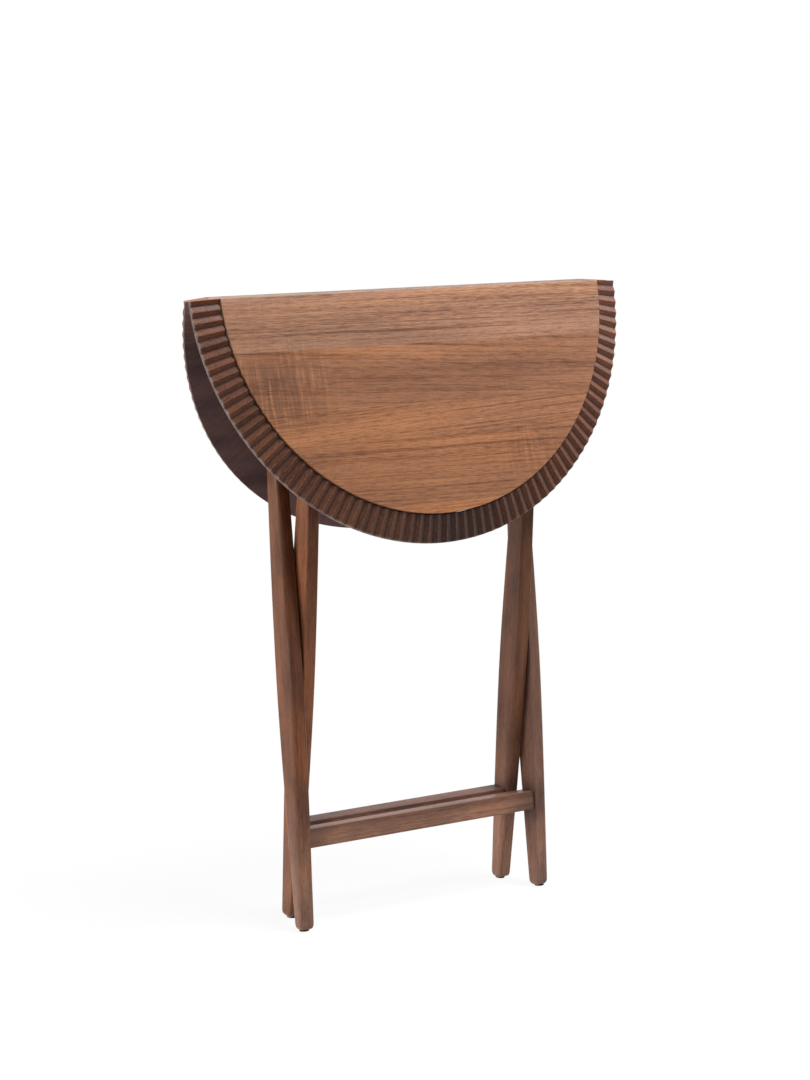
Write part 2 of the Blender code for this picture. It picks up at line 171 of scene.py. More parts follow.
class LeafSettings(bpy.types.PropertyGroup):
    """Sizes and woods of the two leaves."""
    panel_radius: size("Panel radius", "Radius of the plain half-round panel",
                       BORDER_BOX[1].x - BORDER_WIDTH)
    top_radius: size("Top radius", "Radius of the table top over the border", BORDER_BOX[1].x)
    panel_arris: size("Panel arris", "Rounding of the panel's top edge", 0.0007)
    joint_gap: size("Joint", "Open joint between the panel and the border", 0.0003)
    joint_arris: size("Joint arris", "Chamfer of the border's inner edge along the joint", 0.0011)
    flutes: IntProperty(name="Flutes", description="V flutes round one leaf", default=70, min=8)
    flute_depth: size("Flute depth", "Depth of a flute below its crests", 0.0026)
    flute_easing: FloatProperty(name="Flute easing", default=0.11, min=0.02, max=0.3, subtype="FACTOR",
                                description="Share of a flute's pitch that rounds its crest")
    rim_thickness: size("Rim thickness", "Height of the rim at a crest", 0.0052)
    rim_arris: size("Rim arris", "Rounding of the rim's edges", 0.0006)
    panel_wood: colour("Panel wood", "Mid tone of the panel's walnut", shade(164, 113, 82))
    border_wood: colour("Border wood", "Mid tone of the fluted border", shade(104, 65, 47))
    under_wood: colour("Underside wood", "Mid tone of the leaves' underside", shade(140, 113, 110))


class FrameSettings(bpy.types.PropertyGroup):
    """Woods of the leg frames."""
    leg_wood: colour("Leg wood", "Mid tone of the legs", shade(128, 84, 61))
    stretcher_wood: colour("Stretcher wood", "Mid tone of the rails between the legs", shade(132, 96, 78))
    block_wood: colour("Block wood", "Mid tone of the bearer blocks", shade(96, 68, 56))


class HardwareSettings(bpy.types.PropertyGroup):
    """Metals, feet and screws."""
    brass: colour("Brass", "Hinge plates and pins", (0.62, 0.44, 0.18))
    bronze: colour("Bronze", "Bushes of the pivots", (0.42, 0.27, 0.14))
    steel: colour("Steel", "Pivot pins and block screws", (0.48, 0.48, 0.49))
    rubber: colour("Rubber", "Glides under the feet", (0.022, 0.021, 0.020))
    hinge_plate: size("Hinge plate", "Thickness of a hinge plate", 0.0012)
    hinge_screw_radius: size("Hinge screw", "Radius of a hinge screw's head", 0.0026)
    block_screw_radius: size("Block screw", "Radius of a block screw's head", 0.0035)
    screw_height: size("Screw height", "How far a screw's head stands out", 0.0005)


class StageSettings(bpy.types.PropertyGroup):
    """Floor, lamps and camera."""
    key_power: power("Key lamp", "Power of the large lamp above", 220.0)
    fill_power: power("Fill lamp", "Power of the lamp at the left", 28.0)
    back_power: power("Back lamp", "Power of the lamp behind the table", 36.0)
    side_power: power("Side lamp", "Power of the lamp at the right", 5.0)
    room_light: FloatProperty(name="Room light", description="Even light from the white room",
                              default=0.08, min=0.0)
    floor_white: FloatProperty(name="Floor white", default=0.92, min=0.0, max=1.0, subtype="FACTOR",
                               description="Share of plain white in the floor that is seen")
    azimuth: angle("Azimuth", "Camera's place round the table", -33.69)
    elevation: angle("Elevation", "Camera's height above the horizon", 8.8975)
    roll: angle("Roll", "Turn of the camera about its line of sight", -0.2818)
    distance: FloatProperty(name="Distance", description="Camera's distance from its target",
                            unit="LENGTH", default=3.36827)
    lens: FloatProperty(name="Lens", description="Focal length on a 36 mm frame", unit="CAMERA",
                        default=93.87)
    target: FloatVectorProperty(name="Target", description="Point the camera looks at", subtype="XYZ",
                                size=3, default=(-0.007074, 0.0, 0.448919), precision=5)


class TableSettings(bpy.types.PropertyGroup):
    """All settings of the table."""
    leaf: PointerProperty(type=LeafSettings)
    frame: PointerProperty(type=FrameSettings)
    hardware: PointerProperty(type=HardwareSettings)
    stage: PointerProperty(type=StageSettings)


# Nodes

class Nodes:
    """Short calls that add nodes to a tree."""

    def __init__(self, tree):
        self.tree = tree

    def put(self, socket, value):
        """Links an output to the socket, or sets the socket's own value."""
        if isinstance(value, bpy.types.NodeSocket):
            self.tree.links.new(value, socket)
        else:
            socket.default_value = value

    def node(self, kind, *values, **settings):
        made = self.tree.nodes.new(kind)
        for name, value in settings.items():
            setattr(made, name, value)
        for index, value in enumerate(values):
            self.put(made.inputs[index], value)
        return made

    def maths(self, operation, *values, clamp=False):
        return self.node("ShaderNodeMath", *values, operation=operation, use_clamp=clamp).outputs[0]

    def scaled(self, value, factor, rest, clamp=False):
        """The value times a factor, plus the rest."""
        return self.maths("MULTIPLY_ADD", value, factor, rest, clamp=clamp)

    def vector(self, operation, *values):
        made = self.node("ShaderNodeVectorMath", *values, operation=operation)
        return made.outputs["Value" if operation == "LENGTH" else "Vector"]

    def split(self, vector):
        return self.node("ShaderNodeSeparateXYZ", vector).outputs[:]

    def join(self, x, y, z):
        return self.node("ShaderNodeCombineXYZ", x, y, z).outputs[0]

    def noise(self, vector, stretch, detail=3.0, roughness=0.5):
        made = self.node("ShaderNodeTexNoise", self.vector("MULTIPLY", vector, stretch))
        for name, value in (("Scale", 1.0), ("Detail", detail), ("Roughness", roughness)):
            made.inputs[name].default_value = value
        return made.outputs[0]

    def spread(self, value, low, high, to_low=0.0, to_high=1.0, soft=True):
        """Maps a span of values to another, in a soft curve or straight."""
        made = self.node("ShaderNodeMapRange", value, low, high, to_low, to_high,
                         interpolation_type="SMOOTHSTEP" if soft else "LINEAR")
        return made.outputs[0]

    def ramp(self, value, stops, interpolation="LINEAR"):
        """Colours by value; a stop's tone is a grey level or a colour."""
        made = self.node("ShaderNodeValToRGB", value)
        made.color_ramp.interpolation = interpolation
        elements = made.color_ramp.elements
        while len(elements) < len(stops):
            elements.new(1.0)
        for element, (place, tone) in zip(elements, stops):
            element.position = place
            element.color = (*tone, 1.0) if isinstance(tone, tuple) else (tone, tone, tone, 1.0)
        return made.outputs["Color"]

    def mix(self, factor, first, second, blend="MIX"):
        made = self.node("ShaderNodeMix", data_type="RGBA", blend_type=blend)
        # the sockets of a mix of colours
        for index, value in ((0, factor), (6, first), (7, second)):
            self.put(made.inputs[index], (*value, 1.0) if isinstance(value, tuple) else value)
        return made.outputs[2]

    def tinted(self, base, tint):
        return self.mix(1.0, base, tint, "MULTIPLY")

    def toned(self, base, value, stops, interpolation="LINEAR"):
        """The base times a ramp's colour at the value."""
        return self.tinted(base, self.ramp(value, stops, interpolation))


class Finish(Nodes):
    """A node material with one shader."""

    def __init__(self, name, **sockets):
        self.material = bpy.data.materials.new(name)
        self.material.use_nodes = True
        super().__init__(self.material.node_tree)
        self.tree.nodes.clear()
        self.shader = self.node("ShaderNodeBsdfPrincipled")
        self.feed(**sockets)
        self.node("ShaderNodeOutputMaterial", self.shader.outputs["BSDF"])
        self.object_point = self.node("ShaderNodeTexCoord").outputs["Object"]

    def feed(self, **sockets):
        for name, value in sockets.items():
            self.put(self.shader.inputs[name.replace("_", " ")], value)

    def within(self, axes):
        """Points of the piece measured along its own axes."""
        back = axes.inverted()
        made = self.node("ShaderNodeMapping", self.object_point, vector_type="POINT")
        made.inputs["Location"].default_value = back.translation
        made.inputs["Rotation"].default_value = back.to_euler()
        return made.outputs["Vector"]

    def bump(self, height, strength, distance):
        made = self.node("ShaderNodeBump")
        for name, value in (("Strength", strength), ("Distance", distance), ("Height", height)):
            self.put(made.inputs[name], value)
        self.feed(Normal=made.outputs["Normal"])


# Walnut

# Noises of the figure: waves to a metre along the grain and both ways across it, detail and roughness
RING_DRIFT = ((1.6, 6, 6), 2.0)
RING_WANDER = ((1, 10, 10), 1.5, 0.4)
RING_FADE = ((2.2, 26, 26), 2.0)
STREAKS = ((1.3, 40, 40), 4.0, 0.55)
COMBED_LINES = ((4, 460, 460), 4.0, 0.65)
FIBRES = ((55, 1050, 1050), 2.0)
PORES = ((120, 1300, 1300), 1.0)
# Spans of noise over which the rings and the pores come up
RING_SHOWS = (0.42, 0.70)
PORE_SHOWS = (0.57, 0.66)
# Year rings: drift in metres, number to a metre, slant in depth, wander in rings, darkness across one ring
DRIFT_REACH = 0.014
RINGS_PER_METRE = 95.0
RING_SLANT = 0.6
RINGS_WANDERED = 5.0
LATE_WOOD = ((0.0, 0.0), (0.66, 0.05), (0.88, 0.8), (0.95, 1.0), (1.0, 0.0))
# Weights of the layers in the tone, about the middle of a noise
MIDDLE = 0.5
STREAK_WEIGHT = 1.15
COMBED_WEIGHT = 1.25
FIBRE_WEIGHT = 1.20
RING_WEIGHT = 0.46
# Colour by tone, and how pores and fibres change colour, roughness and relief
WALNUT_TONES = ((0.08, (0.44, 0.38, 0.36)), (0.32, (0.76, 0.71, 0.69)), (0.52, 1.0),
                (0.78, (1.20, 1.22, 1.24)))
PORE_COLOUR = (0.040, 0.020, 0.013)
PORE_SHARE = 0.34
FIBRE_ROUGHNESS = 0.16
PORE_ROUGHNESS = 0.20
DULL_ROUGHNESS = 0.45
PORE_SINK = 0.8
WOOD_RELIEF = (0.16, 0.0003)


def grain(finish, point, rings=1.0, streaks=1.0, fibres=1.0):
    """Walnut's figure along X, each layer in its share: the tone from 0 to 1, the pores and the fibres."""
    x, y, z = finish.split(point)
    y = finish.scaled(finish.noise(point, *RING_DRIFT), DRIFT_REACH, y)
    wavy = finish.join(x, y, z)
    wander = finish.maths("MULTIPLY", finish.noise(wavy, *RING_WANDER), RINGS_WANDERED)
    depth = finish.scaled(z, RING_SLANT, y)
    growth = finish.scaled(depth, RINGS_PER_METRE, wander)
    late = finish.ramp(finish.maths("FRACT", growth), LATE_WOOD)
    late = finish.maths("MULTIPLY", late, finish.spread(finish.noise(wavy, *RING_FADE), *RING_SHOWS))
    fine = finish.noise(wavy, *FIBRES)
    pores = finish.spread(finish.noise(wavy, *PORES), *PORE_SHOWS)
    tone = MIDDLE
    for layer, weight in ((finish.noise(wavy, *STREAKS), STREAK_WEIGHT * streaks),
                          (finish.noise(wavy, *COMBED_LINES), COMBED_WEIGHT * fibres),
                          (fine, FIBRE_WEIGHT * fibres)):
        tone = finish.scaled(finish.maths("SUBTRACT", layer, MIDDLE), weight, tone)
    tone = finish.scaled(late, -RING_WEIGHT * rings, tone, clamp=True)
    return tone, pores, fine


def oiled(finish, base, tone, pores, fine, roughness, specular, dull=0.0):
    """Satin oil over walnut: colour, sheen and the relief of the pores, rougher where it is dull."""
    wood = finish.toned(base, tone, WALNUT_TONES)
    wood = finish.mix(finish.maths("MULTIPLY", pores, PORE_SHARE), wood, PORE_COLOUR)
    rough = finish.scaled(fine, FIBRE_ROUGHNESS, roughness - FIBRE_ROUGHNESS / 2)
    rough = finish.scaled(pores, PORE_ROUGHNESS, rough)
    rough = finish.scaled(dull, DULL_ROUGHNESS, rough)
    finish.feed(Base_Color=wood, Roughness=rough, Specular_IOR_Level=specular)
    finish.bump(finish.scaled(pores, -PORE_SINK, fine), *WOOD_RELIEF)


# Stained walnut of the frames

# Painted light and shade on each leg at the foot and at the top, and the painted shade by the stretcher
LEG_PAINTED_LIGHT = {
    "outer_left_leg": ((1.28, 1.65, 2.10), (1.05, 0.98, 0.88), 0.10),
    "outer_right_leg": ((1.01, 1.31, 1.75), (0.82, 1.05, 1.42), 0.50),
    "inner_left_leg": ((1.14, 1.16, 1.20), (1.38, 1.29, 1.20), 0.10),
    "inner_right_leg": ((1.46, 1.87, 2.50), (0.78, 0.80, 0.82), 0.40),
}
# Heights on a leg, from the centre pivot, between which its painted light and shade changes
LEG_BLEND = (-0.28, -0.09)
# Painted light and shade on the stretchers, from the lower edge to the top face
RAIL_PAINTED_LIGHT = {
    "outer": ((0.00, (1.30, 1.30, 1.32)), (0.45, (1.19, 1.18, 1.20)), (0.88, (0.74, 0.72, 0.72)),
              (0.97, (0.70, 0.68, 0.71))),
    "inner": ((0.00, (1.10, 1.14, 1.26)), (0.86, (1.10, 1.14, 1.26)), (0.96, (0.72, 0.68, 0.74))),
}
# Painted shade by the joints: its colour, how it fades along a leg from the stretcher and grows to a
# stretcher's ends
JOINT_SHADE = shade(62, 46, 42)
LEG_SHADE_REACH = (0.008, 0.034)
RAIL_SHADE_REACH = (0.055, 0.012)
RAIL_SHADE_SHARE = 0.5
# Patches where the stain took unevenly, and their tints
STAIN_PATCHES = ((13, 42, 42), 4.0)
STAIN_TONES = ((0.30, (0.62, 0.64, 0.70)), (0.50, 1.0), (0.70, (1.26, 1.20, 1.10)))
# Shares of rings, streaks and fibres that show through the stain; roughness and specular level
FRAME_FIGURE = (0.45, 0.7, 0.55)
FRAME_OIL = (0.34, 0.16)
BLOCK_OIL = (0.50, 0.16)
# Places of the blocks, legs and stretchers in the pattern
BLOCK_SHIFT = (1.0, 2.0, 0.0)
LEG_SHIFT = {"outer": (0.0, 0.3, 0.0), "inner": (4.0, 0.3, 0.0)}
RAIL_SHIFT = {"outer": (2.0, 0.0, 0.9), "inner": (5.0, 0.0, 0.9)}


def stained(finish, point, base):
    """Stain takes unevenly along the grain."""
    return finish.toned(base, finish.noise(point, *STAIN_PATCHES), STAIN_TONES)


def block_walnut(leaf, axes, base):
    """Dull stained walnut along a bearer block's X axis."""
    finish = Finish(leaf + "_block_walnut")
    point = finish.vector("ADD", finish.within(axes), BLOCK_SHIFT)
    oiled(finish, stained(finish, point, base), *grain(finish, point, *FRAME_FIGURE), *BLOCK_OIL)
    return finish.material


def leg_walnut(name, pair, base):
    """Stained walnut up a leg, with painted light and shade from foot to top and painted shade by the
    stretcher.
    """
    finish = Finish(name + "_walnut")
    here = finish.within(leg_axes(pair))
    point = finish.vector("ADD", here, LEG_SHIFT[pair])
    up = finish.split(here)[0]
    foot, top, dark = LEG_PAINTED_LIGHT[name]
    # painted light and shade, from the tint at the foot to the tint at the top
    base = finish.tinted(base, finish.mix(finish.spread(up, *LEG_BLEND), foot, top))
    # painted shade darkens the leg by the stretcher
    low, high = box_in(leg_axes(pair), pair + "_stretcher")
    away = finish.maths("ABSOLUTE", finish.maths("SUBTRACT", up, (low.x + high.x) / 2))
    base = finish.mix(finish.spread(away, *LEG_SHADE_REACH, dark, 0.0), stained(finish, point, base), JOINT_SHADE)
    oiled(finish, base, *grain(finish, point, *FRAME_FIGURE), *FRAME_OIL)
    return finish.material


def rail_walnut(pair, base):
    """Stained walnut along a stretcher, with painted light and shade from its lower edge to its darker top
    face, and painted shade at its ends.
    """
    finish = Finish(pair + "_stretcher_walnut")
    here = finish.within(stretcher_axes(pair))
    point = finish.vector("ADD", here, RAIL_SHIFT[pair])
    along, up, _ = finish.split(here)
    low, high = box_in(stretcher_axes(pair), pair + "_stretcher")
    # painted light and shade: lighter low on the stretcher, darker on its top face
    rise = finish.spread(up, low.y, high.y, soft=False)
    base = finish.toned(stained(finish, point, base), rise, RAIL_PAINTED_LIGHT[pair])
    # painted shade towards the stretcher's ends, where they meet the legs
    begins, full = [high.x - reach for reach in RAIL_SHADE_REACH]
    end_shade = finish.spread(finish.maths("ABSOLUTE", along), begins, full, 0.0, RAIL_SHADE_SHARE)
    base = finish.mix(end_shade, base, JOINT_SHADE)
    oiled(finish, base, *grain(finish, point, *FRAME_FIGURE), *FRAME_OIL)
    return finish.material


# Walnut of the leaves

# Underside: its slow bands and their tints, how high it reaches, the share of figure that it loses
UNDER_BANDS = ((2.5, 26, 26), 3.0)
UNDER_TONES = ((0.36, (0.66, 0.66, 0.70)), (0.50, 1.0), (0.64, (1.30, 1.24, 1.16)))
UNDER_SKIN = (0.0004, 0.0014)
UNDER_QUIET = 0.6

# Edge-glued boards: where each begins in shares of the top's radius, its tint, place in the pattern, slope
BOARDS = {
    "front": ((0.000, (1.18, 1.37, 1.60), 0.10, 0.01), (0.213, (1.00, 0.99, 0.96), 0.45, 0.05),
              (0.445, (1.08, 1.07, 1.02), 0.80, -0.03), (0.585, (1.06, 1.03, 0.95), 0.30, 0.02),
              (0.840, (1.12, 1.06, 0.92), 0.65, 0.00)),
    "back": ((0.000, (0.96, 0.96, 0.98), 0.55, 0.02), (0.235, (1.05, 1.03, 1.02), 0.20, -0.06),
             (0.430, (0.90, 0.89, 0.88), 0.70, 0.05), (0.650, (1.02, 1.00, 0.95), 0.90, 0.00),
             (0.870, (1.08, 1.04, 0.95), 0.40, 0.02)),
}
# How far a board's place in the pattern moves it along, across and through
BOARD_SHIFT = (7.0, 3.0, 1.0)
# Bands of greyer and of golden heartwood, and the painted shade from one end of a leaf to the other
HEART_BANDS = ((1.8, 15, 15), 3.5)
HEART_TONES = ((0.34, (0.76, 0.75, 0.77)), (0.50, 1.0), (0.66, (1.22, 1.17, 1.06)))
END_SHADE_REACH = 0.27
END_SHADE_TONES = ((0.0, 1.09), (1.0, (0.84, 0.83, 0.83)))
# Patches of curly figure: place on the leaf, reach and strength
CURL = {
    "front": ((0.212, 0.106, 0.060, 1.0), (-0.140, 0.205, 0.026, 0.6)),
    "back": ((-0.090, 0.165, 0.055, 0.9), (0.150, 0.080, 0.030, 0.5)),
}
# Curl: short bands across the grain, their tints, faint curl elsewhere, a patch's ragged edge and fade
CURL_BANDS = ((330, 24, 24), 2.0)
CURL_TONES = ((0.40, (0.54, 0.53, 0.54)), (0.55, (0.76, 0.75, 0.76)), (0.70, (1.26, 1.28, 1.24)))
FAINT_CURL = ((5, 16, 16), 0.5)
FAINT_CURL_SHOWS = (0.52, 0.70, 0.0, 0.12)
CURL_EDGE = ((30, 40, 40), 3.0)
CURL_EDGE_REACH = 0.06
CURL_STRETCH = (1.0, 1.6, 0.0)
CURL_CORE = 0.4
CURL_FADE = 0.10
# Glue lines: half their width as a share of the top's radius, their strength and colour
SEAM_HALF_WIDTH = 0.0011
SEAM_SHARE = 0.30
SEAM_COLOUR = (0.05, 0.026, 0.017)
# Painted highlight on the edge along the hinge line: how deep it reaches, and its tint
EDGE_HIGHLIGHT_SKIN = (0.0001, 0.0006)
EDGE_HIGHLIGHT_TINT = (0.80, 1.04, 1.24)
# Roughness and specular level
PANEL_OIL = (0.33, 0.35)
BORDER_OIL = (0.29, 0.17)

# Painted light and shade round the border from one end of the hinge line to the other, and the painted
# highlight on its rim
ROUND_PAINTED_LIGHT = ((0.0, (1.10, 0.80, 0.62)), (0.10, (0.93, 0.90, 0.88)), (0.24, 0.98),
               (0.39, (0.98, 0.99, 1.02)), (0.52, (0.34, 0.40, 0.54)), (0.68, (0.98, 0.90, 0.84)),
               (0.84, (1.28, 1.14, 1.02)), (1.0, (1.40, 1.24, 1.10)))
RIM_HIGHLIGHT_AROUND = ((0.0, 0.46), (0.34, 0.46), (0.48, 0.16), (0.75, 0.20), (1.0, 0.40))
RIM_HIGHLIGHT_REACH = (0.0018, 0.0004)
RIM_HIGHLIGHT_COLOUR = shade(172, 158, 150)
# Ribs: their place in the pattern, their own tints, and the shares of rings and streaks
RIB_SHIFT = 2.0
RIB_TONES = ((0.0, (0.86, 0.85, 0.84)), (1.0, 1.12))
BORDER_FIGURE = (0.6, 0.8)
# Across a flute, from 0 in its trough to 0.5 on its crest: spans and shares of painted shade and of painted
# highlight
TROUGH_SHADE = (0.02, 0.20, 0.66, 0.0)
TROUGH_SHADE_COLOUR = (0.022, 0.012, 0.009)
CREST_HIGHLIGHT = (0.44, 0.49, 0.0, 0.20)
CREST_HIGHLIGHT_COLOUR = shade(190, 150, 124)
# Painted shadow of the panel's edge on the border along the joint: its reach out from there, its share and
# its colour
JOINT_SHADOW_REACH = (0.0004, 0.0022)
JOINT_SHADOW_SHARE = 0.70
JOINT_SHADOW_COLOUR = (0.020, 0.011, 0.008)


def underside(finish, here, box, settings, base, tone, pores):
    """A leaf's face below is darker and quieter in figure, in slow bands along the hinge line."""
    full, ends = [box[0].z + height for height in UNDER_SKIN]
    below = finish.spread(finish.split(here)[2], full, ends, 1.0, 0.0)
    quiet = finish.scaled(below, -UNDER_QUIET, 1.0)
    tone = finish.scaled(finish.maths("SUBTRACT", tone, MIDDLE), quiet, MIDDLE)
    pores = finish.maths("MULTIPLY", pores, quiet)
    dark = finish.toned((*settings.under_wood,), finish.noise(here, *UNDER_BANDS), UNDER_TONES)
    return finish.mix(below, base, dark), tone, pores, below


def curled(finish, leaf, here, point, base):
    """Curly figure, where the fibres rise and fall, in patches and faintly elsewhere."""
    x, y, _ = finish.split(here)
    ragged = finish.noise(here, *CURL_EDGE)
    patch = finish.spread(finish.noise(point, *FAINT_CURL), *FAINT_CURL_SHOWS)
    for at_x, at_y, reach, strength in CURL[leaf]:
        away = finish.vector("SUBTRACT", finish.join(x, y, 0.0), (at_x, at_y, 0.0))
        away = finish.vector("LENGTH", finish.vector("MULTIPLY", away, CURL_STRETCH))
        away = finish.scaled(ragged, CURL_EDGE_REACH, away)
        near = finish.spread(away, CURL_CORE * reach, reach + CURL_FADE, strength, 0.0)
        patch = finish.maths("MAXIMUM", patch, near)
    return finish.mix(patch, base, finish.toned(base, finish.noise(here, *CURL_BANDS), CURL_TONES))


def panel_walnut(leaf, settings):
    """Walnut boards edge-glued side by side, with curly figure here and there and a darker underside."""
    finish = Finish(leaf + "_panel_walnut")
    here = finish.within(leaf_axes(leaf))
    x, y, z = finish.split(here)
    share = finish.maths("DIVIDE", y, settings.top_radius)
    boards = BOARDS[leaf]
    places = [(start, (shift, MIDDLE + slope, 0.0)) for start, _, shift, slope in boards]
    shift, slope, _ = finish.split(finish.ramp(share, places, "CONSTANT"))
    sloping = finish.scaled(finish.maths("SUBTRACT", slope, MIDDLE), x, y)
    point = finish.join(*[finish.scaled(shift, far, value)
                          for far, value in zip(BOARD_SHIFT, (x, sloping, z))])
    tone, pores, fine = grain(finish, point)
    tints = [(start, tint) for start, tint, _, _ in boards]
    base = finish.toned((*settings.panel_wood,), share, tints, "CONSTANT")
    base = finish.toned(base, finish.noise(point, *HEART_BANDS), HEART_TONES)
    # painted shade: each leaf darkens a little towards one end, where less light falls
    base = finish.toned(base, finish.spread(x, -END_SHADE_REACH, END_SHADE_REACH, soft=False), END_SHADE_TONES)
    base = curled(finish, leaf, here, point, base)
    seam = 0.0
    for start, _, _, _ in boards[1:]:
        seam = finish.maths("MAXIMUM", seam, finish.maths("COMPARE", share, start, SEAM_HALF_WIDTH))
    base = finish.mix(finish.maths("MULTIPLY", seam, SEAM_SHARE), base, SEAM_COLOUR)
    # painted highlight: the edge along the hinge line is tinted greyer and bluer
    full, ends = [LEAF_BOX[0].y + depth for depth in EDGE_HIGHLIGHT_SKIN]
    edge = finish.spread(y, full, ends, 1.0, 0.0)
    base = finish.mix(edge, base, finish.tinted(base, EDGE_HIGHLIGHT_TINT))
    base, tone, pores, below = underside(finish, here, LEAF_BOX, settings, base, tone, pores)
    oiled(finish, base, tone, pores, fine, *PANEL_OIL, below)
    return finish.material


def border_walnut(leaf, settings):
    """Dark walnut whose grain runs out from the centre, each rib with its own tone."""
    finish = Finish(leaf + "_border_walnut")
    here = finish.within(leaf_axes(leaf))
    x, y, z = finish.split(here)
    radius = finish.vector("LENGTH", finish.join(x, y, 0.0))
    turn = finish.maths("ARCTAN2", y, x)
    flutes_per_radian = settings.flutes / pi
    rib = finish.maths("FLOOR", finish.scaled(turn, flutes_per_radian, 0.5))
    chance = finish.node("ShaderNodeTexWhiteNoise", noise_dimensions="1D")
    finish.put(chance.inputs["W"], rib)
    chance = chance.outputs["Value"]
    arc = finish.maths("MULTIPLY", turn, settings.panel_radius)
    point = finish.join(finish.scaled(chance, RIB_SHIFT, radius), arc, z)
    tone, pores, fine = grain(finish, point, *BORDER_FIGURE)
    base = finish.toned((*settings.border_wood,), chance, RIB_TONES)
    around = finish.maths("DIVIDE", turn, pi)
    # painted light and shade round the border, lighter or darker as it faces the lamps
    base = finish.toned(base, around, ROUND_PAINTED_LIGHT)
    # painted shade deep in the flutes, and painted highlights on their crests
    phase = finish.maths("FRACT", finish.maths("MULTIPLY", turn, flutes_per_radian))
    height = finish.maths("ABSOLUTE", finish.maths("SUBTRACT", phase, 0.5))
    for span, hue in ((TROUGH_SHADE, TROUGH_SHADE_COLOUR), (CREST_HIGHLIGHT, CREST_HIGHLIGHT_COLOUR)):
        base = finish.mix(finish.spread(height, *span), base, hue)
    # painted shadow along the joint, and a painted highlight on the edge of the rim
    full, ends = [settings.panel_radius + reach for reach in JOINT_SHADOW_REACH]
    base = finish.mix(finish.spread(radius, full, ends, JOINT_SHADOW_SHARE, 0.0), base, JOINT_SHADOW_COLOUR)
    begins, full = [settings.top_radius - reach for reach in RIM_HIGHLIGHT_REACH]
    rim_highlight = finish.maths("MULTIPLY", finish.spread(radius, begins, full), finish.ramp(around, RIM_HIGHLIGHT_AROUND))
    base = finish.mix(rim_highlight, base, RIM_HIGHLIGHT_COLOUR)
    base, tone, pores, below = underside(finish, here, BORDER_BOX, settings, base, tone, pores)
    oiled(finish, base, tone, pores, fine, *BORDER_OIL, below)
    return finish.material


# Metal and rubber

# Waves to a metre of drawn lines and of a pressed grain, their detail, tints and relief
DRAWN = ((18, 900, 900), 2.0)
PRESSED = ((500, 500, 500), 2.0)
LINE_TONES = ((0.3, 0.90), (0.7, 1.06))
METAL_RELIEF = (0.10, 0.0002)
# Tarnish: its clouds, where they show, their share and darkness, the roughness they add and its start
TARNISH_CLOUDS = ((60, 60, 60), 3.0)
TARNISH_SHOWS = (0.45, 0.75)
TARNISH_SHARE = 0.35
TARNISH_DARK = 0.42
TARNISH_ROUGHNESS = 0.22
TARNISH_START = -0.08
# Roughness of pins, bushes, hinges and screws
PIN_ROUGHNESS = 0.30
BUSH_ROUGHNESS = 0.38
HINGE_ROUGHNESS = 0.30
SCREW_ROUGHNESS = 0.34
# Rubber: its speckle and scuffs, where scuffs show and how pale they are, roughness and relief
SPECKLE = ((700, 700, 700), 2.0)
SCUFFS = ((120, 120, 240), 3.0)
SCUFF_SHOWS = (0.5, 0.8)
SCUFF_PALE = 2.4
RUBBER_ROUGHNESS = 0.60
SPECKLE_ROUGHNESS = 0.2
RUBBER_RELIEF = (0.2, 0.0003)


def metal(name, base, roughness, marks=DRAWN):
    """Satin metal with fine lines and a little tarnish."""
    finish = Finish(name, Metallic=1.0)
    lines = finish.noise(finish.object_point, *marks)
    cloud = finish.noise(finish.object_point, *TARNISH_CLOUDS)
    tarnish = finish.maths("MULTIPLY", finish.spread(cloud, *TARNISH_SHOWS), TARNISH_SHARE)
    dull = finish.mix(tarnish, (*base,), tuple(TARNISH_DARK * value for value in base))
    rough = finish.scaled(cloud, TARNISH_ROUGHNESS, roughness + TARNISH_START)
    finish.feed(Base_Color=finish.toned(dull, lines, LINE_TONES), Roughness=rough)
    finish.bump(lines, *METAL_RELIEF)
    return finish.material


def rubber(name, base):
    """Matt moulded rubber, scuffed a little paler."""
    finish = Finish(name)
    speck = finish.noise(finish.object_point, *SPECKLE)
    scuff = finish.spread(finish.noise(finish.object_point, *SCUFFS), *SCUFF_SHOWS)
    finish.feed(Base_Color=finish.mix(scuff, (*base,), tuple(SCUFF_PALE * value for value in base)),
                Roughness=finish.scaled(speck, SPECKLE_ROUGHNESS, RUBBER_ROUGHNESS))
    finish.bump(speck, *RUBBER_RELIEF)
    return finish.material


# Meshes

MERGE_DISTANCE = 1e-6
CUT_DISTANCE = 1e-7
# Degrees from which edges are sharp, on most pieces and on the border, and under which faces are merged
SHARP_ANGLE = 30.0
FLUTE_SHARP_ANGLE = 9.0
FLAT_ANGLE = 0.2
# Sides of the panel's whole disc to each flute of a leaf, and steps of its rounded edge
DISC_SIDES_PER_FLUTE = 4
PANEL_ARRIS_STEPS = 3
# Run of the joint's chamfer to its drop
JOINT_TURN = 0.8
# Shares of the rim's rounding at which its section turns
RIM_TURN = 0.3
RIM_SHOULDER = 0.35
RIM_FALL = 0.6
# Share of a flute's easing taken off its crest and trough; rim roundings below the flutes
EASING_DROP = 0.35
FLUTE_FOOT = 1.5
# Screw heads: sides, taper to the top, half the slot's width to the radius, its depth to the height
SCREW_SIDES = 20
SCREW_TAPER = 0.9
SLOT_HALF_WIDTH = 0.16
SLOT_DEPTH = 0.7


def of_type(items, wanted):
    """Those of a bmesh operator's results that are of one type."""
    return [item for item in items if isinstance(item, wanted)]


